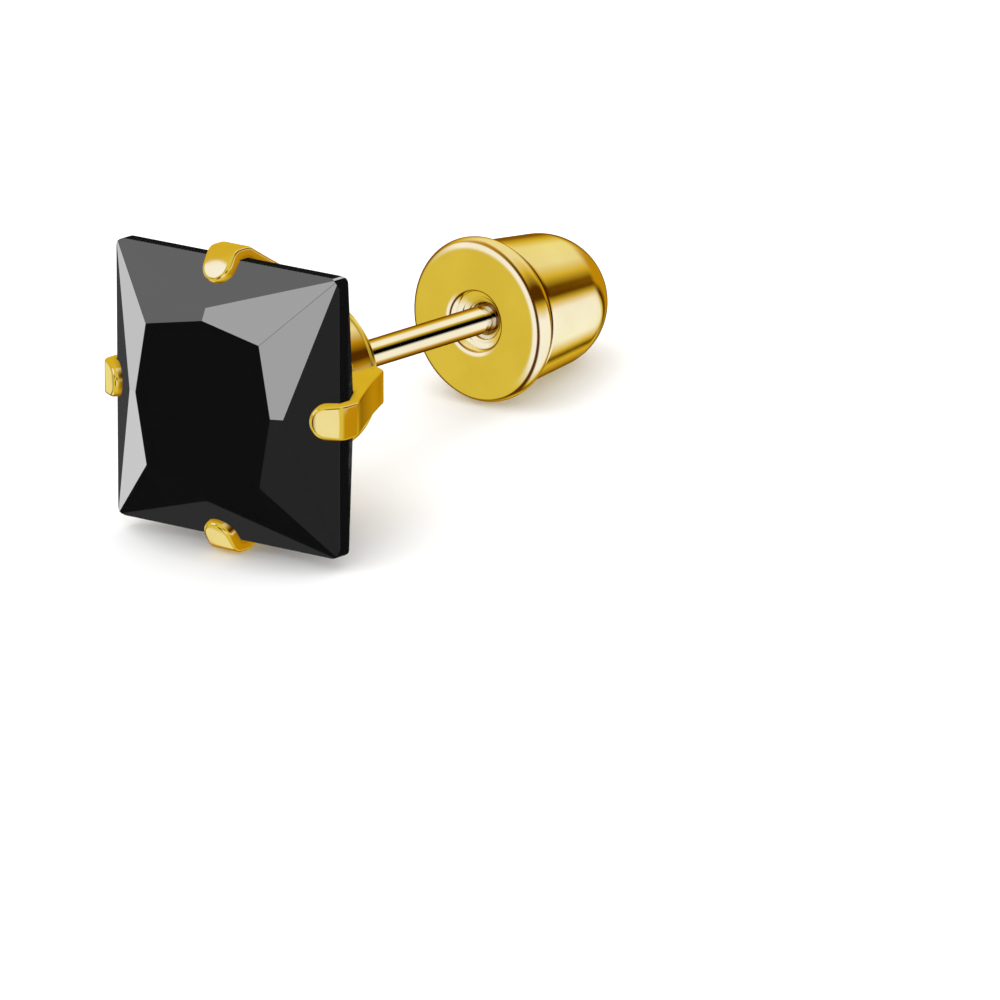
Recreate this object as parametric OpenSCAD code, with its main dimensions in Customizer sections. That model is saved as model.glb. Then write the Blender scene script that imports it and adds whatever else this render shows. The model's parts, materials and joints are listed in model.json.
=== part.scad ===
// Square stone stud earring with a ball-ended screw back, lying on its side.
// The pieces are drawn round the post's axis, with Z running from the stone to the screw back
// and 0 at the back of the stone's girdle. The whole is then laid down as it rests.

/* [Stone] */
// Side of the square stone at its girdle
stone_side = 8; // [7:0.5:9]
// Height of the crown, from the girdle to the table
crown_h = 1.1; // [0.9:0.1:1.3]
// Thickness of the girdle
girdle_t = 0.4; // [0.3:0.05:0.5]
// Radius of the stone's four upright corners
corner_r = 0.3; // [0.2:0.05:0.4]

/* [Setting] */
// Width of each arm and of the claw at its end
arm_w = 1.0; // [0.8:0.05:1.2]
// Thickness of the claw folded over the stone
claw_t = 0.32; // [0.26:0.02:0.4]
// Angle at which the arms lean in from the girdle to the boss
arm_lean = 28; // [26:1:30]
// How far a claw reaches in over the crown
claw_reach = 0.68; // [0.6:0.02:0.8]
// Diameter of the round boss that the arms rise from
boss_d = 4.5; // [4:0.1:5]
// Clearance between the stone and its seat
seat_gap = 0.03; // [0.02:0.01:0.05]

/* [Post] */
// Diameter of the post, which goes through the ear
post_d = 0.8; // [0.8:0.01:0.9]
// Clear length of post between its collar and the screw back
ear_gap = 6.5; // [4:0.25:7]
// Diameter of the solder collar at the post's root
collar_d = 1.16; // [1.14:0.02:1.4]
// Pitch of the screw thread
thread_pitch = 0.2; // [0.16:0.02:0.24]
// Number of thread turns on the post
thread_turns = 15; // [12:1:16]

/* [Screw back] */
// Diameter of the flange that lies against the ear
flange_d = 4.78; // [4.6:0.02:5]
// Thickness of the flange at its rounded rim
flange_t = 0.8; // [0.7:0.05:0.9]
// Diameter of the ball end
ball_d = 3.92; // [3.8:0.02:4.1]
// Length of the screw back, flange to ball end
back_l = 4.92; // [4.8:0.02:5.2]
// Half angle of the body's taper
body_taper = 5.6; // [4:0.1:7]
// Diameter of the countersunk mouth
mouth_d = 1.9; // [1.7:0.05:2.1]

/* [Hidden] */
$fn = 96;

// Shape of the crown, as shares of the stone's side: the table's corners, the middles of its
// sides, and the inner points of the four large side facets
table_corner = 0.2535;
table_middle = 0.3025;
facet_point = 0.345;
// Flat left at the bottom point of the stone
culet_flat = 0.06;

// Facets below the girdle: how far each kind leans from the axis and is turned round it
skirt_tilt = 58.6;
chevron_tilt = 39.3;
chevron_turn = 8;
low_tilt = 33.2;
low_turn = 18;

half_side = stone_side / 2;
kite_rise = table_middle * (0.5 - table_corner);
kite_azimuth = atan((table_middle - table_corner) / table_corner);
kite_tilt = atan(norm([table_corner, table_middle - table_corner]) * crown_h
    / (kite_rise * stone_side));
point_h = crown_h * (1 - table_corner * (facet_point - table_middle) / kite_rise);
crown_tilt = atan(point_h / ((0.5 - facet_point) * stone_side));

// Facets of one quarter of the stone: how far the facet's normal leans from the axis, the angle
// that it is turned round the axis, and the edge or corner that the facet passes through
front_edge = [half_side, 0, -girdle_t];
front_corner = [half_side, half_side, -girdle_t];
back_edge = [half_side, 0, 0];
back_corner = [half_side, half_side, 0];
QUARTER_FACETS = [
    [180 - crown_tilt, 0, front_edge],
    [180 - kite_tilt, kite_azimuth, front_corner],
    [180 - kite_tilt, 90 - kite_azimuth, front_corner],
    [skirt_tilt, 0, back_edge],
    [chevron_tilt, chevron_turn, back_corner],
    [chevron_tilt, 90 - chevron_turn, back_corner],
    [low_tilt, low_turn, back_corner],
    [low_tilt, 90 - low_turn, back_corner],
];
// All the facets, as the lean, the turn and the distance from the origin
FACETS = [
    for (quarter = [0:3], facet = QUARTER_FACETS)
        [facet[0], facet[1] + 90 * quarter, direction(facet[0], facet[1]) * facet[2]],
];
pavilion_h = half_side * tan(low_tilt) * (cos(low_turn) + sin(low_turn));
stone_span = 3 * stone_side;

// Share of the stone's depth that shows in front of the boss, the metal behind the stone's
// point, and the length of the collar
boss_share = 0.77;
boss_floor = 0.65;
collar_l = 0.12;

// Stations along the axis
boss_front = boss_share * pavilion_h;
boss_back = pavilion_h + boss_floor;
collar_end = boss_back + collar_l;
flange_front = collar_end + ear_gap;
back_end = flange_front + back_l;
ball_centre = back_end - ball_d / 2;

// Arms: outermost where they pass the girdle, then straight in to a rounded corner whose circle
// touches both the arm's line and the domed back
arm_out = half_side + seat_gap + claw_t;
dome_r = 5.6;
dome_centre = [0, boss_back - dome_r];
arm_corner_r = 0.3;
arm_out_normal = [cos(arm_lean), sin(arm_lean)];
arm_run = [-sin(arm_lean), cos(arm_lean)];
corner_start = [arm_out, 0] - arm_corner_r * arm_out_normal;
corner_offset = corner_start - dome_centre;
corner_along = corner_offset * arm_run;
arm_corner = corner_start + arm_run * (sqrt(pow(corner_along, 2)
    - corner_offset * corner_offset + pow(dome_r - arm_corner_r, 2)) - corner_along);
// How deep an arm reaches in from the girdle before the stone's seat is cut out of it
arm_depth = 0.5;
// The lip round the boss: how far it stands out and how long it is
boss_lip = 0.08;
boss_lip_l = 0.6;
// How far pieces of one casting run into each other
overlap = 0.2;

// Post: smooth through the ear and a little way into the screw back, then a short neck and the
// thread, whose crests clear the rings in the bore
post_r = post_d / 2;
post_root = boss_back - overlap;
smooth_overrun = 0.1;
smooth_end = flange_front + smooth_overrun;
neck_l = 0.2;
thread_relief = 0.015;
thread_r = post_r - thread_relief;
thread_depth = 0.06;
thread_start = smooth_end + neck_l;
thread_end = thread_start + thread_turns * thread_pitch;
tip_l = 0.15;
tip_r = 0.25;
post_end = thread_end + tip_l;

// Screw back
rim_r = flange_t / 2;
mouth_depth = 0.5;
bore_gap = 0.03;
bore_r = post_r + bore_gap;
bore_start = flange_front + mouth_depth;
bore_room = 0.2;
bore_end = post_end + bore_room;
bore_turns = floor((bore_end - bore_start) / thread_pitch);
// The shoulder behind the rim: how far in from the rim and before the flange's back it starts,
// and how far behind the flange's back it runs into the body
shoulder_drop = 0.1;
shoulder_lead = 0.12;
shoulder_run = 0.2;
shoulder_start = flange_front + flange_t - shoulder_lead;
body_start = flange_front + flange_t + shoulder_run;

// How it rests: on the flat of its lowest arm, and pitched until the screw back's rim or its ball
// end is on the ground too
rim_lever = [flange_front + rim_r, arm_out - flange_d / 2 + rim_r];
rim_pitch = atan(rim_lever[1] / rim_lever[0]) - asin(rim_r / norm(rim_lever));
ball_lever = [ball_centre, arm_out];
ball_pitch = atan(ball_lever[1] / ball_lever[0]) - asin(ball_d / 2 / norm(ball_lever));
rest_pitch = min(rim_pitch, ball_pitch);
rest_height = arm_out * cos(rest_pitch);
rest_front = -(girdle_t + crown_h) * cos(rest_pitch)
    - table_middle * stone_side * sin(rest_pitch);
rest_back = ball_centre * cos(rest_pitch) + ball_d / 2;
rest_middle = (rest_front + rest_back) / 2;

// Lays the piece down in its resting place, with the ground at Z 0
module at_rest() {
    translate([0, -rest_middle, rest_height])
        rotate([-90 - rest_pitch, 0, 0])
            children();
}

// Square outline with true arcs at its corners
module rounded_square(side, r) {
    square([side, side - 2 * r], center = true);
    square([side - 2 * r, side], center = true);
    for (x = [-1, 1], y = [-1, 1])
        translate([x, y] * (side / 2 - r)) circle(r);
}

// Unit vector that leans from the axis by lean and is turned round it by turn
function direction(lean, turn) = [sin(lean) * cos(turn), sin(lean) * sin(turn), cos(lean)];

// Takes away what lies outside one facet's plane, and so on for every facet left in the list
module cut_facets(facets, grow) {
    if (len(facets) == 0)
        children();
    else
        difference() {
            cut_facets([for (i = [1:1:len(facets) - 1]) facets[i]], grow) children();
            rotate([0, facets[0][0], facets[0][1]])
                translate([-stone_span / 2, -stone_span / 2, facets[0][2] + grow])
                    cube(stone_span);
        }
}

// The cut stone, or the space that it needs when grow is the clearance round it
module stone_shape(grow = 0) {
    front = girdle_t + crown_h + grow;
    cut_facets(FACETS, grow)
        translate([0, 0, -front])
            linear_extrude(front + pavilion_h - culet_flat + grow)
                rounded_square(stone_side + 2 * grow, corner_r + grow);
}

// Side view of one arm, from the fold over the girdle down to the boss
module arm_outline() {
    from_centre = arm_corner - dome_centre;
    polygon([
        [arm_out, -girdle_t],
        [arm_out, 0],
        arm_corner + arm_corner_r * arm_out_normal,
        arm_corner,
        dome_centre + from_centre * dome_r / norm(from_centre),
        [boss_d / 4, boss_back + overlap],
        [boss_d / 4, boss_front],
        [half_side - arm_depth, 0],
        [half_side - arm_depth, -girdle_t],
    ]);
    translate(arm_corner) circle(arm_corner_r);
    translate([half_side, -girdle_t]) circle(seat_gap + claw_t);
}

// The rounded tab that lies on the crown, drawn flat and tilted on to the large side facet
module claw_tab() {
    straight = claw_reach / cos(crown_tilt) - arm_w / 2;
    translate([half_side, 0, -girdle_t])
        rotate([0, 180 - crown_tilt, 0])
            linear_extrude(seat_gap + claw_t) {
                translate([0, -arm_w / 2]) square([straight, arm_w]);
                translate([straight, 0]) circle(arm_w / 2);
            }
}

// One arm with its claw
module arm() {
    translate([0, arm_w / 2, 0])
        rotate([90, 0, 0])
            linear_extrude(arm_w) arm_outline();
    claw_tab();
}

// Round boss, with a lip where its side meets its back
module boss() {
    translate([0, 0, boss_front])
        cylinder(d = boss_d - 2 * boss_lip, h = boss_back - boss_front);
    translate([0, 0, boss_back - boss_lip_l])
        cylinder(d = boss_d, h = boss_lip_l);
}

// The four arms and the boss as one casting, with a domed back
module basket() {
    intersection() {
        union() {
            for (quarter = [0:3]) rotate(90 * quarter) arm();
            boss();
        }
        translate([0, 0, dome_centre[1]]) sphere(dome_r);
    }
}

// Zigzag of a thread, as points along the axis
function zigzag(start, turns, low_r, high_r) = [
    for (turn = [0:turns - 1]) each [
        [low_r, start + turn * thread_pitch],
        [high_r, start + (turn + 0.5) * thread_pitch],
    ],
    [low_r, start + turns * thread_pitch],
];

// Post with its solder collar: smooth through the ear, then threaded to the tip
module post() {
    translate([0, 0, post_root])
        cylinder(d = collar_d, h = collar_end - post_root);
    rotate_extrude()
        polygon([
            [0, post_root],
            [post_r, post_root],
            [post_r, smooth_end],
            each zigzag(thread_start, thread_turns, thread_r - thread_depth, thread_r),
            [tip_r, post_end],
            [0, post_end],
        ]);
}

module stone() {
    color([0.03, 0.03, 0.035])
        at_rest() stone_shape();
}

module setting_with_post() {
    color([0.83, 0.65, 0.18])
        at_rest() {
            difference() {
                basket();
                stone_shape(seat_gap);
            }
            post();
        }
}

// Half section of the screw back without its bore
module back_outline() {
    body_start_r = ball_d / 2 / cos(body_taper) + (ball_centre - body_start) * tan(body_taper);
    body_end = ball_centre + ball_d / 2 * sin(body_taper);
    polygon([
        [0, flange_front],
        [flange_d / 2 - rim_r, flange_front],
        [flange_d / 2, flange_front + rim_r],
        [flange_d / 2 - shoulder_drop, shoulder_start],
        [body_start_r, body_start],
        [ball_d / 2 * cos(body_taper), body_end],
        [0, body_end],
    ]);
    translate([flange_d / 2 - rim_r, flange_front + rim_r]) circle(rim_r);
    intersection() {
        translate([0, ball_centre]) circle(d = ball_d);
        translate([0, ball_centre]) square(ball_d);
    }
}

module screw_back() {
    color([0.83, 0.65, 0.18])
        at_rest()
            difference() {
                rotate_extrude() back_outline();
                rotate_extrude()
                    polygon([
                        [0, flange_front - overlap],
                        [mouth_d / 2, flange_front - overlap],
                        [mouth_d / 2, flange_front],
                        each zigzag(bore_start, bore_turns, bore_r + thread_depth, bore_r),
                        [bore_r, bore_end],
                        [0, bore_end],
                    ]);
            }
}

stone();
setting_with_post();
screw_back();
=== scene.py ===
import json
import math

import bmesh
import bpy
from mathutils import Matrix, Vector


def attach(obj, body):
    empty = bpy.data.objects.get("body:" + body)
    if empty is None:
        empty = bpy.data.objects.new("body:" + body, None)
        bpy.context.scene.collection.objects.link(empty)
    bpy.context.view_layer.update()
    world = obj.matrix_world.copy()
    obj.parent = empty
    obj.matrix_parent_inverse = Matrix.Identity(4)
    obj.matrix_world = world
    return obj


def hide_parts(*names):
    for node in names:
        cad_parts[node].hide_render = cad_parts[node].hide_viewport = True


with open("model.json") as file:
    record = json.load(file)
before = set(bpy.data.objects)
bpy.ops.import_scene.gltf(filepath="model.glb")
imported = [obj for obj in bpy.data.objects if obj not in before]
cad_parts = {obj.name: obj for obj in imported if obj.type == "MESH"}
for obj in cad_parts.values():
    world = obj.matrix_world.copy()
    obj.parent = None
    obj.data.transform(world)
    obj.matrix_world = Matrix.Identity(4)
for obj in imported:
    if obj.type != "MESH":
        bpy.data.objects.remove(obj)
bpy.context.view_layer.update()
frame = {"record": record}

MM = 0.001

# Driving sizes in millimetres, as the CAD part has them
STONE_SIDE = 8.0
CROWN_H = 1.1
GIRDLE_T = 0.4
CORNER_R = 0.3
ARM_W = 1.0
CLAW_T = 0.32
ARM_LEAN = math.radians(28)
CLAW_REACH = 0.68
BOSS_D = 4.5
SEAT_GAP = 0.03
POST_R = 0.4
EAR_GAP = 6.5
COLLAR_R = 0.58
PITCH = 0.2
THREAD_TURNS = 15
FLANGE_R = 2.39
RIM_R = 0.4
BALL_R = 1.96
BACK_L = 4.92
BODY_TAPER = math.radians(5.6)
MOUTH_R = 0.95
MOUTH_ROUND = 0.26

HALF_SIDE = STONE_SIDE / 2
ARM_OUT = HALF_SIDE + SEAT_GAP + CLAW_T

# The crown's plan, as shares of the stone's side, then the flat at the stone's back point, the
# width of its edges' rounding, and the lean and turn of the facets below
TABLE_CORNER = 0.2535
TABLE_MIDDLE = 0.3025
FACET_POINT = 0.345
CULET_FLAT = 0.06
STONE_EDGE = 0.018
SKIRT_TILT = math.radians(58.6)
CHEVRON_TILT = math.radians(39.3)
CHEVRON_TURN = math.radians(8)
LOW_TILT = math.radians(33.2)
LOW_TURN = math.radians(18)

KITE_RISE = TABLE_MIDDLE * (0.5 - TABLE_CORNER)
KITE_AZIMUTH = math.atan((TABLE_MIDDLE - TABLE_CORNER) / TABLE_CORNER)
KITE_TILT = math.atan(
    math.hypot(TABLE_CORNER, TABLE_MIDDLE - TABLE_CORNER) * CROWN_H / (KITE_RISE * STONE_SIDE)
)
POINT_H = CROWN_H * (1 - TABLE_CORNER * (FACET_POINT - TABLE_MIDDLE) / KITE_RISE)
CROWN_TILT = math.atan(POINT_H / ((0.5 - FACET_POINT) * STONE_SIDE))
PAVILION_H = HALF_SIDE * math.tan(LOW_TILT) * (math.cos(LOW_TURN) + math.sin(LOW_TURN))

# Stations along the post's axis, from the back of the stone's girdle
BOSS_FRONT = 0.77 * PAVILION_H
BOSS_BACK = PAVILION_H + 0.65
COLLAR_END = BOSS_BACK + 0.12
FLANGE_FRONT = COLLAR_END + EAR_GAP
BACK_END = FLANGE_FRONT + BACK_L
BALL_CENTRE = BACK_END - BALL_R
SMOOTH_END = FLANGE_FRONT + 0.1
THREAD_START = SMOOTH_END + 0.2
THREAD_END = THREAD_START + THREAD_TURNS * PITCH
POST_END = THREAD_END + 0.15
THREAD_R = POST_R - 0.015
THREAD_DEPTH = 0.06
BORE_R = POST_R + 0.03
BORE_START = FLANGE_FRONT + 0.5
BORE_END = POST_END + 0.2

# The domed back of the boss, and the bend of each arm that runs into it
DOME_R = 5.6
DOME_CENTRE = BOSS_BACK - DOME_R
BEND_R = 0.3
KNEE_R = 0.5

# The claw: its length over the crown, how far it thins to its tip, and its edges' rounding
GIRDLE_EDGE = Vector((HALF_SIDE, -GIRDLE_T))
CLAW_ROOT = SEAT_GAP + CLAW_T
CLAW_L = CLAW_REACH / math.cos(CROWN_TILT)
CLAW_SAG = 0.1
EDGE_R = 0.09
TIP_R = 0.13

# The arm: where it starts, as a share of the boss's radius, how far under the dome it starts,
# how hollow its long side is, and how thick its outer strip is
ARM_START = 0.78
ARM_SUNK = 0.02
ARM_BOW = 0.05
STRIP_T = 0.25

# The web under the arm's strip: how deep it starts, how much narrower it is, and how far it
# reaches into the stone's place, before the seat is cut
WEB_SUNK = 0.1
WEB_INSET = 0.01
WEB_REACH = 0.5

# The boss: the rounding of its edges, and the length and depth of the step at its back
BOSS_EDGE = 0.05
BOSS_RIM = 0.6
BOSS_STEP = 0.08

# The post: how deep it starts in the boss, the rounding of its collar, its small bevels, and
# the length and radii of its tip's bevel
POST_ROOT = 0.2
COLLAR_EDGE = 0.06
BEVEL = 0.02
TIP_L = 0.05
TIP_START_R = 0.27
TIP_END_R = 0.2

# The screw back: where its body starts behind the face of its flange, the length of the body's
# first step, the groove in front of it, as distances forwards and inwards, and where the rim's
# rounding ends, as an angle from the way back
BODY_START = 0.92
BODY_STEP = 0.06
GROOVE = ((0.03, 0.01), (0.06, 0.05))
RIM_END = math.radians(21.6)

# The bore: how far outside MOUTH_R the rounding of its mouth is centred, the pitch and depth of
# the grooves in its throat, and the plain length at its end
MOUTH_OUT = 0.15
THROAT_PITCH = 0.11
THROAT_DEPTH = 0.04
BORE_PLAIN = 0.25

# The earring's own frame: X right, Y from the stone to the screw back, Z up, before it was
# laid down. The axis comes from the CAD part's post.
post_mount = next(m for m in frame["record"]["mounts"] if m["name"] == "post")
axis = Vector(post_mount["axis"])
REST = Matrix.Rotation(math.asin(axis.z), 3, "X")
origin = Vector(post_mount["pos_m"]) - axis * (COLLAR_END + FLANGE_FRONT) / 2 * MM
TO_ROW = (
    Matrix.Translation(origin)
    @ REST.to_4x4()
    @ Matrix.Rotation(-math.pi / 2, 4, "X")
    @ Matrix.Scale(MM, 4)
)

# How finely round things are drawn
ROUND = 128
ARC = 10


def add_object(name, mesh):
    """Links a new object that holds the mesh."""
    made = bpy.data.objects.new(name, mesh)
    bpy.context.scene.collection.objects.link(made)
    return made


def add_mesh(name, bm):
    """Turns a bmesh into a linked object; the faces of a closed one all look outwards."""
    bmesh.ops.recalc_face_normals(bm, faces=bm.faces)
    if bm.calc_volume(signed=True) < 0:
        bmesh.ops.reverse_faces(bm, faces=bm.faces)
    mesh = bpy.data.meshes.new(name)
    bm.to_mesh(mesh)
    bm.free()
    return add_object(name, mesh)


def prism(name, outline, place):
    """A closed prism between two copies of an outline; place(point, end) gives each corner."""
    bm = bmesh.new()
    ends = [[bm.verts.new(place(p, end)) for p in outline] for end in (0, 1)]
    bm.faces.new(ends[0])
    bm.faces.new(ends[1])
    for i in range(len(outline)):
        j = (i + 1) % len(outline)
        bm.faces.new((ends[0][i], ends[0][j], ends[1][j], ends[1][i]))
    return add_mesh(name, bm)


def lathe(name, rows):
    """A closed surface from pole to pole; each row is (station, radius at an angle)."""
    bm = bmesh.new()
    angles = [2 * math.pi * i / ROUND for i in range(ROUND)]
    rings = [
        [bm.verts.new((radius(a) * math.cos(a), radius(a) * math.sin(a), station)) for a in angles]
        for station, radius in rows[1:-1]
    ]
    for here, there in zip(rings, rings[1:]):
        for i in range(ROUND):
            j = (i + 1) % ROUND
            bm.faces.new((here[i], here[j], there[j], there[i]))
    for (station, _), ring in ((rows[0], rings[0]), (rows[-1], rings[-1])):
        pole = bm.verts.new((0, 0, station))
        for i in range(ROUND):
            bm.faces.new((ring[i], ring[(i + 1) % ROUND], pole))
    return add_mesh(name, bm)


def arc(centre, radius, start, end, count=ARC):
    """Points of an arc, as (station, radius) pairs, for angles from the axis's +station way."""
    return [
        (
            centre[0] + radius * math.cos(start + (end - start) * i / count),
            centre[1] + radius * math.sin(start + (end - start) * i / count),
        )
        for i in range(count + 1)
    ]


def plain_rows(points):
    """Rows of a lathe from (station, radius) pairs."""
    return [(station, lambda a, r=radius: r) for station, radius in points]


def thread_rows(start, end, root, crest, pitch=PITCH, slope=0.0):
    """Rows of a helical thread that fades in and out over a turn at each end."""
    steps = round((end - start) / pitch * 8)
    rows = []
    for i in range(steps + 1):
        station = start + (end - start) * i / steps
        height = min(1, (station - start) / pitch, (end - station) / pitch)

        def radius(a, station=station, height=height):
            phase = (station / pitch - a / (2 * math.pi)) % 1
            tooth = (crest - root) * height * (1 - abs(2 * phase - 1))
            return root + slope * (station - start) + tooth

        rows.append((station, radius))
    return rows


def modified(obj, kind, **settings):
    """Adds a modifier with its settings."""
    modifier = obj.modifiers.new(kind.title(), kind)
    for key, value in settings.items():
        setattr(modifier, key, value)
    return modifier


def apply_modifiers(obj):
    """Bakes the modifiers of an object into its mesh."""
    graph = bpy.context.evaluated_depsgraph_get()
    mesh = bpy.data.meshes.new_from_object(obj.evaluated_get(graph))
    obj.modifiers.clear()
    obj.data = mesh


def combine(base, operation, *others):
    """Joins other closed meshes to base, or cuts them from it, and removes them."""
    for other in others:
        modified(base, "BOOLEAN", operation=operation, object=other, solver="MANIFOLD")
        apply_modifiers(base)
        bpy.data.objects.remove(other)
    return base


def smooth(obj, angle):
    """Smooth shading except across edges sharper than the angle."""
    obj.data.polygons.foreach_set("use_smooth", [True] * len(obj.data.polygons))
    obj.data.set_sharp_from_angle(angle=angle)


def direction(lean, turn):
    """Unit vector that leans from the axis by lean and is turned round it by turn."""
    return Vector(
        (math.sin(lean) * math.cos(turn), math.sin(lean) * math.sin(turn), math.cos(lean))
    )


def stone_facets():
    """Every facet's normal and a point on it."""
    front_edge = Vector((HALF_SIDE, 0, -GIRDLE_T))
    front_corner = Vector((HALF_SIDE, HALF_SIDE, -GIRDLE_T))
    back_edge = Vector((HALF_SIDE, 0, 0))
    back_corner = Vector((HALF_SIDE, HALF_SIDE, 0))
    right = math.pi / 2
    quarter_facets = [
        (math.pi - CROWN_TILT, 0, front_edge),
        (math.pi - KITE_TILT, KITE_AZIMUTH, front_corner),
        (math.pi - KITE_TILT, right - KITE_AZIMUTH, front_corner),
        (SKIRT_TILT, 0, back_edge),
        (CHEVRON_TILT, CHEVRON_TURN, back_corner),
        (CHEVRON_TILT, right - CHEVRON_TURN, back_corner),
        (LOW_TILT, LOW_TURN, back_corner),
        (LOW_TILT, right - LOW_TURN, back_corner),
    ]
    facets = []
    for quarter in range(4):
        turn = Matrix.Rotation(right * quarter, 3, "Z")
        for lean, azimuth, point in quarter_facets:
            facets.append((turn @ direction(lean, azimuth), turn @ point))
    return facets


def rounded_square(side, radius):
    """Outline of a square with round corners."""
    inner = side / 2 - radius
    points = []
    for corner in range(4):
        middle = math.pi / 4 + corner * math.pi / 2
        cx = inner * math.copysign(1, math.cos(middle))
        cy = inner * math.copysign(1, math.sin(middle))
        points += arc((cx, cy), radius, middle - math.pi / 4, middle + math.pi / 4, 6)
    return points


def stone_shape(name, grow=0.0):
    """The cut stone, or with grow the room that its seat takes."""
    front = -(GIRDLE_T + CROWN_H + grow)
    back = PAVILION_H - CULET_FLAT + grow
    stone = prism(
        name,
        rounded_square(STONE_SIDE + 2 * grow, CORNER_R + grow),
        lambda p, end: (p[0], p[1], back if end else front),
    )
    bm = bmesh.new()
    bm.from_mesh(stone.data)
    for normal, point in stone_facets():
        cut = bmesh.ops.bisect_plane(
            bm,
            geom=bm.verts[:] + bm.edges[:] + bm.faces[:],
            dist=1e-6,
            plane_co=point + normal * grow,
            plane_no=normal,
            clear_outer=True,
        )
        edges = [e for e in cut["geom_cut"] if isinstance(e, bmesh.types.BMEdge)]
        if edges:
            bmesh.ops.holes_fill(bm, edges=edges, sides=0)
    bmesh.ops.remove_doubles(bm, verts=bm.verts, dist=1e-4)
    bmesh.ops.dissolve_limit(bm, angle_limit=math.radians(0.2), verts=bm.verts, edges=bm.edges)
    bmesh.ops.recalc_face_normals(bm, faces=bm.faces)
    bm.to_mesh(stone.data)
    bm.free()
    return stone


def rounded_edges(obj, width, angle):
    """Rounds the edges sharper than the angle."""
    modified(
        obj, "BEVEL", width=width, segments=2, limit_method="ANGLE", angle_limit=angle,
        use_clamp_overlap=True,
    )
    apply_modifiers(obj)


def arm_bend(dome_r):
    """Centre of the arm's bend, whose circle touches the arm's line and a dome."""
    out = Vector((math.cos(ARM_LEAN), math.sin(ARM_LEAN)))
    run = Vector((-math.sin(ARM_LEAN), math.cos(ARM_LEAN)))
    start = Vector((ARM_OUT, 0)) - BEND_R * out
    offset = start - Vector((0, DOME_CENTRE))
    along = offset.dot(run)
    reach = math.sqrt(along**2 - offset.dot(offset) + (dome_r - BEND_R) ** 2) - along
    return start + run * reach


def arm_line():
    """Outer line of one arm as (radius, station) points with normals, from the boss to the fold.

    Its long side is very slightly hollow, which lets its reflections change along it.
    """
    dome_r = DOME_R - ARM_SUNK
    dome_middle = Vector((0, DOME_CENTRE))
    bend = arm_bend(dome_r)
    dome_way = math.atan2(bend.y - DOME_CENTRE, bend.x)
    knee = Vector((ARM_OUT - KNEE_R, -KNEE_R * math.tan(ARM_LEAN / 2)))
    out = Vector((math.cos(ARM_LEAN), math.sin(ARM_LEAN)))
    low, high = bend + BEND_R * out, knee + KNEE_R * out
    line = []
    for middle, radius, start, end, count in (
        (dome_middle, dome_r, math.acos(ARM_START * BOSS_D / 2 / dome_r), dome_way, 5),
        (bend, BEND_R, dome_way, ARM_LEAN, 9),
        (knee, KNEE_R, ARM_LEAN, 0, 5),
        (GIRDLE_EDGE, CLAW_ROOT, 0, CROWN_TILT - math.pi / 2, 9),
    ):
        for i in range(count):
            angle = start + (end - start) * i / (count - 1)
            normal = Vector((math.cos(angle), math.sin(angle)))
            line.append((middle + radius * normal, normal))
        if middle is bend:
            for t in (i / 10 for i in range(1, 10)):
                slope = 4 * ARM_BOW * (1 - 2 * t) / (high - low).length
                normal = (out + slope * (high - low).normalized()).normalized()
                line.append((low.lerp(high, t) - out * ARM_BOW * 4 * t * (1 - t), normal))
    return line


def tab_place(u):
    """Outer point, normal and depth of the claw, u along it from its fold; it thins to its tip."""
    out = Vector((math.sin(CROWN_TILT), -math.cos(CROWN_TILT)))
    run = Vector((-math.cos(CROWN_TILT), -math.sin(CROWN_TILT)))
    slope = 2 * CLAW_SAG * u / CLAW_L**2
    height = CLAW_ROOT - slope * u / 2
    return GIRDLE_EDGE + run * u + out * height, (out + run * slope).normalized(), (
        height * math.hypot(1, slope)
    )


def arm_shape(quarter):
    """One arm as a bent strip with rounded outer edges and a round tip, and the web under it."""
    half = ARM_W / 2
    straight = CLAW_L - half
    rows = [(*place, STRIP_T, EDGE_R, 0.0, None) for place in arm_line()]
    tab = [(straight * i / 8, 0.0) for i in range(1, 9)]
    tab += [(straight, math.pi / 2 * i / 12) for i in range(1, 13)]
    for u, turn in tab:
        rows.append((None, None, None, EDGE_R + (TIP_R - EDGE_R) * min(1, u / straight), turn, u))
    bm = bmesh.new()
    steps = [math.pi / 2 * i / 5 for i in range(6)]
    loops = []
    for point, normal, depth, edge, turn, u in rows:
        side = []
        for inset, sunk in [(0, None)] + [
            (edge * (1 - math.cos(a)), edge * (1 - math.sin(a))) for a in steps
        ]:
            if u is not None:
                point, normal, depth = tab_place(u + (half - inset) * math.sin(turn))
            place = point - normal * (depth if sunk is None else sunk)
            side.append((place, (half - inset) * math.cos(turn)))
        loop = [(q.x, y, q.y) for q, y in side] + [(q.x, -y, q.y) for q, y in reversed(side)]
        loops.append([bm.verts.new(v) for v in loop])
    bm.faces.new(loops[0])
    for here, there in zip(loops, loops[1:]):
        for i in range(len(here)):
            j = (i + 1) % len(here)
            bm.faces.new((here[i], here[j], there[j], there[i]))
    bmesh.ops.remove_doubles(bm, verts=bm.verts, dist=1e-5)
    turned = Matrix.Rotation(quarter * math.pi / 2, 4, "Z")
    bm.transform(turned)
    strip = add_mesh("strip", bm)

    inner = [point - WEB_SUNK * normal for point, normal in arm_line()]
    outline = [(q.x, q.y) for q in inner] + [
        (HALF_SIDE, -GIRDLE_T),
        (HALF_SIDE - WEB_REACH, -GIRDLE_T),
        (HALF_SIDE - WEB_REACH, 0),
        (BOSS_D / 4, BOSS_FRONT),
        (BOSS_D / 4, inner[0].y),
    ]
    wide = ARM_W - WEB_INSET
    web = prism(
        "web", outline, lambda q, end: turned @ Vector((q[0], (end - 0.5) * wide, q[1]))
    )
    return strip, web


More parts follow.
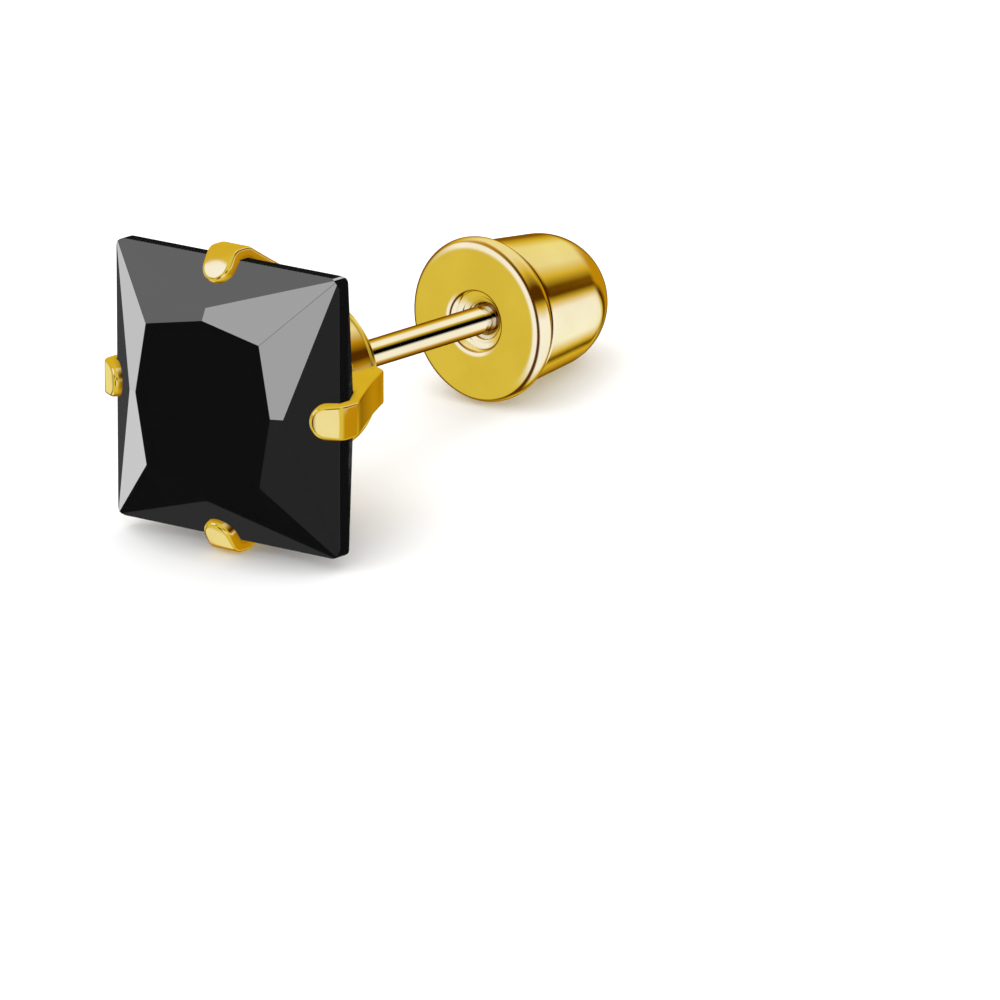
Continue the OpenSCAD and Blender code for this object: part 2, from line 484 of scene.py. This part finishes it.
def basket_shape():
    """The basket of four arms and the boss, as one closed mesh."""
    edge = BOSS_EDGE
    outer, inner = BOSS_D / 2, BOSS_D / 2 - BOSS_STEP
    step = BOSS_BACK - BOSS_RIM
    dome_edge = DOME_CENTRE + math.sqrt((DOME_R - edge) ** 2 - (outer - edge) ** 2)
    dome_way = math.asin((outer - edge) / (DOME_R - edge))
    back = lathe(
        "claw_setting",
        plain_rows(
            [(BOSS_FRONT, 0)]
            + arc((BOSS_FRONT + edge, inner - edge), edge, math.pi, math.pi / 2, 5)
            + [(step, inner)]
            + arc((step + edge, outer - edge), edge, math.pi, math.pi / 2, 5)
            + arc((dome_edge, outer - edge), edge, math.pi / 2, dome_way, 5)
            + arc((DOME_CENTRE, 0), DOME_R, dome_way, 0, 16)[1:]
        ),
    )
    for quarter in range(4):
        combine(back, "UNION", *arm_shape(quarter))
    combine(back, "DIFFERENCE", stone_shape("seat", SEAT_GAP))
    return back


def post_shape():
    """The post with its solder collar, neck and thread."""
    edge = COLLAR_EDGE
    root = BOSS_BACK - POST_ROOT
    groove_r = THREAD_R - THREAD_DEPTH
    rows = plain_rows(
        [(root, 0), (root, COLLAR_R)]
        + arc((COLLAR_END - edge, COLLAR_R - edge), edge, math.pi / 2, 0)
        + [(COLLAR_END, POST_R + BEVEL), (COLLAR_END + BEVEL, POST_R)]
        + [(SMOOTH_END - BEVEL, POST_R), (SMOOTH_END, POST_R - BEVEL)]
        + [(SMOOTH_END + BEVEL, groove_r)]
    )
    rows += thread_rows(THREAD_START, THREAD_END, groove_r, THREAD_R)
    rows += plain_rows([(POST_END - TIP_L, TIP_START_R), (POST_END, TIP_END_R), (POST_END, 0)])
    return lathe("threaded_post", rows)


def screw_back_shape():
    """The screw back as one turned surface, from its ball end to the end of its bore."""
    body_start = FLANGE_FRONT + BODY_START
    slope = math.tan(BODY_TAPER)
    body_start_r = BALL_R / math.cos(BODY_TAPER) + (BALL_CENTRE - body_start) * slope
    rim = (FLANGE_FRONT + RIM_R, FLANGE_R - RIM_R)
    mouth = (FLANGE_FRONT + MOUTH_ROUND, MOUTH_R + MOUTH_OUT)
    rows = plain_rows(
        arc((BALL_CENTRE, 0), BALL_R, 0, math.pi / 2 - BODY_TAPER, 32)
        + [(body_start + BODY_STEP, body_start_r - BODY_STEP * slope)]
        + [(body_start, body_start_r)]
        + [(body_start - forwards, body_start_r - inwards) for forwards, inwards in GROOVE]
        + arc(rim, RIM_R, RIM_END, math.pi, 26)
        + arc(mouth, MOUTH_ROUND, math.pi, math.pi * 1.5, 16)
    )
    mouth_end = mouth[0] + BEVEL
    throat = mouth[1] - MOUTH_ROUND
    groove_r = BORE_R + THREAD_DEPTH
    narrowing = (groove_r - throat) / (BORE_START - mouth_end)
    rows += thread_rows(
        mouth_end, BORE_START, throat, throat - THROAT_DEPTH, THROAT_PITCH, narrowing
    )
    rows += thread_rows(BORE_START + BEVEL / 2, BORE_END - BORE_PLAIN, groove_r, BORE_R)
    rows += plain_rows([(BORE_END, groove_r), (BORE_END, 0)])
    return lathe("ball_screw_back", rows)


stone = stone_shape("cut_stone")
rounded_edges(stone, STONE_EDGE, math.radians(3))
setting = basket_shape()
post = post_shape()
back = screw_back_shape()
for piece, angle in ((stone, 1), (setting, 24), (post, 30), (back, 30)):
    smooth(piece, math.radians(angle))
    piece.data.transform(TO_ROW)
    piece.data.update()

for piece, body, node, slot in (
    (stone, "stud", "stone", "black_stone"),
    (setting, "stud", "setting_with_post", "gold_metal"),
    (post, "stud", "setting_with_post", "gold_metal"),
    (back, "back", "screw_back", "gold_metal"),
):
    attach(piece, body)
    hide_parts(node)


def add_node(tree, kind, settings=None, **inputs):
    """Adds a shader node; an input is given a value, or another node's output."""
    made = tree.nodes.new("ShaderNode" + kind)
    for key, value in (settings or {}).items():
        setattr(made, key, value)
    for key, value in inputs.items():
        number = key[1:]
        socket = made.inputs[int(number) if number.isdigit() else key.replace("_", " ")]
        if isinstance(value, bpy.types.NodeSocket):
            tree.links.new(value, socket)
        else:
            socket.default_value = value
    return made


def mixed(tree, share, a, b):
    """Colour a, or b where share is 1."""
    return add_node(tree, "Mix", {"data_type": "RGBA"}, _0=share, _6=a, _7=b).outputs[2]


def math_node(tree, operation, a, b=0.0, c=0.0):
    """Result of a math node."""
    return add_node(tree, "Math", {"operation": operation}, _0=a, _1=b, _2=c).outputs[0]


def dot(tree, a, b):
    """Dot product of two vectors."""
    return add_node(tree, "VectorMath", {"operation": "DOT_PRODUCT"}, _0=a, _1=b).outputs["Value"]


def spread(tree, value, low, high, start=0.0, end=1.0, kind="LINEAR"):
    """Start below low and end above high, with a steady change between."""
    return add_node(
        tree,
        "MapRange",
        {"interpolation_type": kind},
        Value=value,
        From_Min=low,
        From_Max=high,
        To_Min=start,
        To_Max=end,
    ).outputs["Result"]


def eased(tree, value, low, high, top=1.0):
    """0 below low and top above high, with a soft change between; low may be above high."""
    return spread(tree, value, low, high, 0.0, top, "SMOOTHSTEP")


def ramp(tree, value, stops):
    """Colour from a table of places from 0 to 1 and colours."""
    made = add_node(tree, "ValToRGB", Fac=value)
    elements = made.color_ramp.elements
    elements.remove(elements[1])
    for i, (position, colour) in enumerate(stops):
        element = elements[0] if i == 0 else elements.new(position)
        element.position = position
        element.color = (*colour, 1)
    return made.outputs["Color"]


def new_material(name):
    """An empty node material with its output node."""
    made = bpy.data.materials.new(name)
    made.use_nodes = True
    made.node_tree.nodes.clear()
    return made, made.node_tree, made.node_tree.nodes.new("ShaderNodeOutputMaterial")


# The gold: its two tones, the brown of the shade painted into its crevices and the tint of its
# edges
GOLD_TONES = [(0.35, (0.82, 0.575, 0.145)), (0.65, (0.86, 0.62, 0.165))]
CREVICE_PAINTED_SHADE = (0.16, 0.06, 0.005, 1)
PAINTED_SHADE_REACH = 0.4 * MM
EDGE_TINT = (0.95, 0.85, 0.45, 1)

# The stone: its black, and how light the grey shards of painted reflection and the lines
# between them are behind its girdle, each shard from a random share
BLACK = (0.002, 0.002, 0.0022, 1)
PAINTED_SHARD_LINE = (0.09, 0.09, 0.09, 1)
PAINTED_SHARD_LEVELS = [
    (0.0, 0.002),
    (0.36, 0.03),
    (0.44, 0.004),
    (0.5, 0.075),
    (0.58, 0.01),
    (0.64, 0.05),
    (0.72, 0.08),
]

# Scales of the textures, as features in each metre
TONE_SCALE = 700.0
HAZE_SCALE = 4000.0
GRAIN_SCALE = 9000.0
SHARD_SCALE = 750.0
SMALL_SHARD_SCALE = 1300.0


def gold_material():
    """Polished gold-coloured plating, with shade painted as brown into its crevices."""
    made, tree, output = new_material("polished_gold")
    place = add_node(tree, "TexCoord").outputs["Object"]
    broad = add_node(tree, "TexNoise", Vector=place, Scale=TONE_SCALE, Detail=3.0).outputs["Fac"]
    # Painted shade: where ambient occlusion finds the sky hidden (crevices, the bore, where the
    # claws meet the stone), the base colour turns brown
    open_sky = add_node(tree, "AmbientOcclusion", {"samples": 8}, Distance=PAINTED_SHADE_REACH)
    open_share = spread(tree, open_sky.outputs["AO"], 0.25, 0.8)
    fine = add_node(tree, "TexNoise", Vector=place, Scale=HAZE_SCALE, Detail=4.0).outputs["Fac"]
    bump = add_node(tree, "Bump", Strength=0.04, Distance=0.01 * MM, Height=broad)
    shader = add_node(
        tree,
        "BsdfPrincipled",
        Base_Color=mixed(tree, open_share, CREVICE_PAINTED_SHADE, ramp(tree, broad, GOLD_TONES)),
        Metallic=1.0,
        Specular_Tint=EDGE_TINT,
        Roughness=spread(tree, fine, 0.3, 0.7, 0.06, 0.1),
        Normal=bump.outputs["Normal"],
    )
    tree.links.new(shader.outputs["BSDF"], output.inputs["Surface"])
    return made


def stone_material():
    """Polished black stone, with grey shards of reflected light painted into its colour where its
    pavilion shows behind the girdle.
    """
    made, tree, output = new_material("black_cut_stone")
    place = add_node(tree, "TexCoord").outputs["Object"]
    grain = add_node(tree, "TexNoise", Vector=place, Scale=GRAIN_SCALE, Detail=3.0)
    long_cells = add_node(
        tree, "Mapping", Vector=place, Rotation=(0.6, 0.9, 0.4), Scale=(0.4, 1.0, 1.8)
    ).outputs["Vector"]
    broad = add_node(tree, "TexVoronoi", Vector=long_cells, Scale=SHARD_SCALE)
    other_cells = add_node(
        tree, "Mapping", Vector=place, Rotation=(2.0, 0.3, 1.2), Scale=(0.45, 1.0, 1.6)
    ).outputs["Vector"]
    small = add_node(tree, "TexVoronoi", Vector=other_cells, Scale=SMALL_SHARD_SCALE)
    edge = add_node(
        tree, "TexVoronoi", {"feature": "DISTANCE_TO_EDGE"}, Vector=long_cells, Scale=SHARD_SCALE
    )
    chance = [
        add_node(tree, "SeparateXYZ", Vector=cells.outputs["Color"]).outputs["X"]
        for cells in (broad, small)
    ]
    shade = add_node(tree, "Mix", _0=0.4, _2=chance[0], _3=chance[1]).outputs["Result"]
    # The grey shards and the lines between them are painted reflections in the base colour
    painted_shards = ramp(tree, shade, [(x, (level, level, level)) for x, level in PAINTED_SHARD_LEVELS])
    painted_shards.node.color_ramp.interpolation = "CONSTANT"
    line = math_node(
        tree,
        "MULTIPLY",
        eased(tree, edge.outputs["Distance"], 0.025, 0.01),
        eased(tree, chance[0], 0.5, 0.55),
    )
    painted_shards = mixed(tree, line, painted_shards, PAINTED_SHARD_LINE)
    from_girdle = add_node(tree, "VectorMath", {"operation": "SUBTRACT"}, _0=place, _1=origin)
    station = dot(tree, from_girdle.outputs["Vector"], axis)
    behind = eased(tree, station, 0.02 * MM, 0.05 * MM)
    shader = add_node(
        tree,
        "BsdfPrincipled",
        Base_Color=mixed(tree, behind, BLACK, painted_shards),
        IOR=2.17,
        Roughness=spread(tree, grain.outputs["Fac"], 0.3, 0.7, 0.02, 0.05),
    )
    tree.links.new(shader.outputs["BSDF"], output.inputs["Surface"])
    return made


gold = gold_material()
black = stone_material()
for piece, material in ((stone, black), (setting, gold), (post, gold), (back, gold)):
    piece.data.materials.clear()
    piece.data.materials.append(material)
    piece.visible_glossy = False


def facing(tree, way, towards, low, high):
    """0 where the way's share towards a direction is below low, and 1 where it is above high."""
    return eased(tree, dot(tree, way, towards), low, high)


def past(tree, way, towards, start, end):
    """0 nearer than start degrees to a direction, and 1 further from it than end degrees."""
    return facing(tree, way, towards, math.cos(math.radians(start)), math.cos(math.radians(end)))


def patch(tree, way, towards, radius, soft, level):
    """Radiance of one round card: level inside radius, nothing past its soft edge, in degrees."""
    edge, full = math.cos(math.radians(radius + soft)), math.cos(math.radians(radius - soft))
    return eased(tree, dot(tree, way, towards), edge, full, level)


# A few tones of light, from a black card to a lamp, that the bands and cards below share
NO_LIGHT = (0.0, 0.0, 0.0)
DARK = (0.1, 0.04, 0.0)
BROWN = (0.3, 0.15, 0.0)
AMBER = (0.6, 0.4, 0.02)
GOLD = (0.8, 0.7, 0.15)
PALE = (1.0, 1.15, 1.8)
BRIGHT = (1.1, 1.4, 4.0)

# The three levels of the cards that the stone mirrors
STRONG = 2.5
MEDIUM = 0.8
FAINT = 0.1

# Light that the stone's facets mirror where no card is, and the cards that they mirror:
# own-frame direction, radius, soft edge, level
STONE_DIM = 0.02
STONE_CARDS = [
    ((0.207, -0.973, -0.103), 8, 1.5, STRONG),
    ((-0.464, -0.762, 0.451), 8, 1.5, STRONG),
    ((-0.965, -0.018, -0.255), 9, 2, STRONG),
    ((-0.668, -0.525, 0.527), 12, 2, MEDIUM),
    ((-0.890, 0.376, -0.259), 8, 2, FAINT),
    ((0.566, -0.783, -0.259), 8, 2, FAINT),
    ((-0.601, 0.046, -0.798), 8, 2, FAINT),
    ((0.171, -0.897, -0.408), 6, 1.5, FAINT),
    ((0.15, 0.97, 0.2), 14, 3, STRONG),
    ((0.97, 0.05, -0.1), 25, 6, MEDIUM),
    ((-0.3, 0.6, 0.8), 14, 3, STRONG),
]

# Cards seen in the setting's claws and arms: direction, radius, soft edge, colour
CLAW_CARDS = [
    ((-0.1, -0.96, -0.26), 13, 3, DARK),
    ((0.53, -0.84, 0.15), 11, 3, DARK),
    ((-0.6, -0.79, 0.08), 10, 3, BROWN),
    ((-0.36, -0.9, 0.22), 9, 3, BROWN),
    ((-0.25, -0.8, 0.52), 10, 3, BROWN),
    ((-0.601, 0.3, 0.74), 52, 6, GOLD),
    ((-0.601, -0.70, 0.385), 15, 1.5, BRIGHT),
    ((0.37, -0.89, -0.26), 17, 4, PALE),
    ((-0.6, -0.14, -0.785), 13, 4, PALE),
    ((-0.95, 0.16, -0.26), 14, 5, PALE),
]

# Bands round the axis, as the screw back, the setting and the post each show them: angle from
# the right towards up, from SEAM once round, and colour
SEAM = -154
BACK_BANDS = [
    (-154, DARK),
    (-135, BROWN),
    (-105, GOLD),
    (-92, DARK),
    (-80, GOLD),
    (-60, BRIGHT),
    (0, BRIGHT),
    (15, GOLD),
    (25, DARK),
    (40, DARK),
    (60, GOLD),
    (85, PALE),
    (130, PALE),
    (150, GOLD),
    (170, BROWN),
    (206, DARK),
]
SETTING_BANDS = [
    (-154, DARK),
    (-135, AMBER),
    (-115, BROWN),
    (-80, GOLD),
    (-60, GOLD),
    (-40, AMBER),
    (-10, AMBER),
    (0, PALE),
    (10, AMBER),
    (20, DARK),
    (30, DARK),
    (45, AMBER),
    (65, PALE),
    (105, PALE),
    (125, GOLD),
    (170, AMBER),
    (195, DARK),
    (206, DARK),
]
POST_BANDS = [
    (-154, DARK),
    (-110, DARK),
    (-75, AMBER),
    (-50, BRIGHT),
    (-5, BRIGHT),
    (10, NO_LIGHT),
    (35, NO_LIGHT),
    (55, GOLD),
    (65, BRIGHT),
    (100, BRIGHT),
    (120, GOLD),
    (150, BROWN),
    (206, DARK),
]

# The plain front, and round one fixed way in it, which the flange's flat face mirrors in the
# photo's view: a pale lip at the upper right, then a line that is dark at the right and brown
# elsewhere
GOLD_FRONT = (0.8, 0.8, 0.3)
FACE_WAY = (-0.601, -0.756, -0.259)
GOLD_LIP = BRIGHT
GOLD_LINE = DARK
GOLD_SHADE = AMBER

# Degrees from that way between which the lip, the line and then the bands come in
LIP_RING = (14, 42)
LINE_RING = (62, 72)
BANDS_RING = (83, 95)

# Directions towards which the lip shows and the line is dark, each with the shares between
# which that comes in
LIP_SIDE = ((0.7, 0, 0.7), -0.7, -0.2)
LINE_SIDE = ((0.9, 0, -0.43), -0.95, 0.1)

# Shares of the way back between which the bands come in behind the rim, and how much further
# back that is between two shares of the way down
BEHIND = (-0.15, 0.3)
LATER_LOW = (-0.55, -0.75, 0.25)

# Round the far end of the axis, across the direction given with its middle: a gold side, a brown
# band and a pale side; then the shares of the way back between which it comes in
FAR_ACROSS = (0.675, 0, -0.737)
FAR_MIDDLE = 0.3355
RIM_FAR = (0.85, 0.97)
PLAIN_FAR = (0.96, 0.99)
FAR_END = [
    (0.0, AMBER),
    (0.4, AMBER),
    (0.5, DARK),
    (0.55, DARK),
    (0.6, GOLD),
    (0.7, BRIGHT),
    (1.0, BRIGHT),
]


def stone_light(tree, way):
    """Radiance of the tent that the stone reflects."""
    total = STONE_DIM
    for towards, radius, soft, level in STONE_CARDS:
        total = math_node(tree, "ADD", patch(tree, way, towards, radius, soft, level), total)
    return total, (1, 1, 1, 1)


def gold_light(stops, cards, front):
    """Makes the radiance of a tent that gold reflects: bands round the axis and a plain front.

    The front ends between two shares of the way back, or with "rim" in a pale lip and a dark
    line, as a round rim shows them.
    """

    def light(tree, way):
        parts = add_node(tree, "SeparateXYZ", Vector=way)
        back = parts.outputs["Y"]
        angle = math_node(tree, "ARCTAN2", parts.outputs["Z"], parts.outputs["X"])
        turn = math_node(tree, "MULTIPLY_ADD", angle, 0.5 / math.pi, 1 - SEAM / 360)
        places = [((degrees - SEAM) / 360, colour) for degrees, colour in stops]
        round_axis = ramp(tree, math_node(tree, "FRACT", turn), places)
        colour = (*GOLD_FRONT, 1)
        if front == "rim":
            later = eased(tree, parts.outputs["Z"], *LATER_LOW)
            behind = eased(tree, math_node(tree, "SUBTRACT", back, later), *BEHIND)
            share = math_node(tree, "MAXIMUM", behind, past(tree, way, FACE_WAY, *BANDS_RING))
            ring = past(tree, way, FACE_WAY, *LIP_RING)
            lip = math_node(tree, "MULTIPLY", ring, facing(tree, way, *LIP_SIDE))
            colour = mixed(tree, lip, colour, (*GOLD_LIP, 1))
            dark = facing(tree, way, *LINE_SIDE)
            line = mixed(tree, dark, (*GOLD_SHADE, 1), (*GOLD_LINE, 1))
            colour = mixed(tree, past(tree, way, FACE_WAY, *LINE_RING), colour, line)
            far_end = RIM_FAR
        else:
            share = eased(tree, back, *front)
            far_end = PLAIN_FAR
        colour = mixed(tree, share, colour, round_axis)
        across = math_node(tree, "ADD", dot(tree, way, FAR_ACROSS), FAR_MIDDLE)
        colour = mixed(tree, eased(tree, back, *far_end), colour, ramp(tree, across, FAR_END))
        for towards, radius, soft, seen in cards:
            colour = mixed(tree, patch(tree, way, towards, radius, soft, 1.0), colour, (*seen, 1))
        return 1.0, colour

    return light


def tent(name, light, piece, radius):
    """A wide sphere of light that only this piece reflects, and that nothing else sees."""
    bm = bmesh.new()
    bmesh.ops.create_icosphere(bm, subdivisions=5, radius=1.0)
    sphere = add_mesh(name, bm)
    smooth(sphere, math.pi)
    sphere.matrix_world = REST.to_4x4() @ Matrix.Scale(radius, 4)
    made, tree, output = new_material(name)
    place = add_node(tree, "TexCoord").outputs["Object"]
    way = add_node(tree, "VectorMath", {"operation": "NORMALIZE"}, _0=place).outputs["Vector"]
    level, colour = light(tree, way)
    emission = add_node(tree, "Emission", Color=colour, Strength=level)
    clear = add_node(tree, "BsdfTransparent")
    both = add_node(tree, "AddShader", _0=emission.outputs[0], _1=clear.outputs[0])
    tree.links.new(both.outputs[0], output.inputs["Surface"])
    made.cycles.emission_sampling = "NONE"
    sphere.data.materials.append(made)
    sphere.visible_camera = False
    sphere.visible_diffuse = False
    sphere.visible_shadow = False
    sphere.visible_transmission = False
    receivers = bpy.data.collections.new(name + "_receivers")
    receivers.objects.link(piece)
    sphere.light_linking.receiver_collection = receivers


# Each tent has a radius of its own, in metres, so that no two spheres touch
tent("stone_tent", stone_light, stone, 0.6)
tent("setting_tent", gold_light(SETTING_BANDS, CLAW_CARDS, (-0.5, 0.1)), setting, 0.65)
tent("post_tent", gold_light(POST_BANDS, [], (-1.2, -1.1)), post, 0.7)
tent("back_tent", gold_light(BACK_BANDS, [], "rim"), back, 0.75)

# The sky: even white, which mirror-like reflections don't see
SKY = 1.35
world = bpy.data.worlds.new("studio")
bpy.context.scene.world = world
world.use_nodes = True
tree = world.node_tree
tree.nodes.clear()
is_glossy = add_node(tree, "LightPath").outputs["Is Glossy Ray"]
level = math_node(tree, "MULTIPLY_ADD", is_glossy, -SKY, SKY)
plain = add_node(tree, "Background", Color=(1, 1, 1, 1), Strength=level)
output = add_node(tree, "OutputWorld", Surface=plain.outputs[0])
world.cycles.sampling_method = "NONE"

# The floor: plain white, just under the earring, so that no two faces meet
FLOOR_REACH = 3.0
FLOOR_DROP = 0.01 * MM
FLOOR_WHITE = (0.93, 0.93, 0.93, 1)
bm = bmesh.new()
bmesh.ops.create_grid(bm, x_segments=1, y_segments=1, size=FLOOR_REACH)
floor = add_mesh("floor", bm)
floor.location.z = -FLOOR_DROP
made, tree, output = new_material("floor")
shader = add_node(tree, "BsdfDiffuse", Color=FLOOR_WHITE)
tree.links.new(shader.outputs[0], output.inputs["Surface"])
floor.data.materials.append(made)
floor.visible_glossy = False
floor.visible_shadow = False

# The lamp: a soft disc high up on the left, for the shadow; sizes in metres and power in watts
LAMP_PLACE = Vector((-0.05, -0.03, 0.25))
LAMP_SIZE = 0.15
LAMP_POWER = 0.06
lamp = bpy.data.lights.new("overhead", "AREA")
lamp.shape = "DISK"
lamp.size = LAMP_SIZE
lamp.energy = LAMP_POWER
overhead = bpy.data.objects.new("overhead", lamp)
bpy.context.scene.collection.objects.link(overhead)
overhead.location = LAMP_PLACE
overhead.rotation_euler = (-LAMP_PLACE).to_track_quat("-Z", "Y").to_euler()
overhead.visible_glossy = False
overhead.visible_camera = False

# The camera: at the photo's angle to the post's own frame, and far off, through a long lens
AZIMUTH, ELEVATION = math.radians(38.5), math.radians(15)
PICTURE = 1000
PIXEL = MM / 36
LENS, SENSOR = 500, 36
# Where the photo has the back of the girdle's middle, in pixels
PLACE = (236.8, 395.1)
toward = REST @ Vector(
    (
        math.sin(AZIMUTH) * math.cos(ELEVATION),
        -math.cos(AZIMUTH) * math.cos(ELEVATION),
        math.sin(ELEVATION),
    )
)
up = REST @ Vector((0, 0, 1))
right = up.cross(toward).normalized()
up = toward.cross(right)
camera_data = bpy.data.cameras.new("camera")
camera_data.lens = LENS
camera_data.sensor_width = SENSOR
camera_data.clip_start, camera_data.clip_end = 0.01, 10
camera = bpy.data.objects.new("camera", camera_data)
bpy.context.scene.collection.objects.link(camera)
bpy.context.scene.camera = camera
middle = PICTURE / 2
aim = origin + right * (middle - PLACE[0]) * PIXEL + up * (PLACE[1] - middle) * PIXEL
distance = PICTURE * PIXEL * LENS / SENSOR
basis = Matrix((right, up, toward)).transposed()
camera.matrix_world = Matrix.Translation(aim + toward * distance) @ basis.to_4x4()

bpy.context.scene.view_settings.view_transform = "Standard"
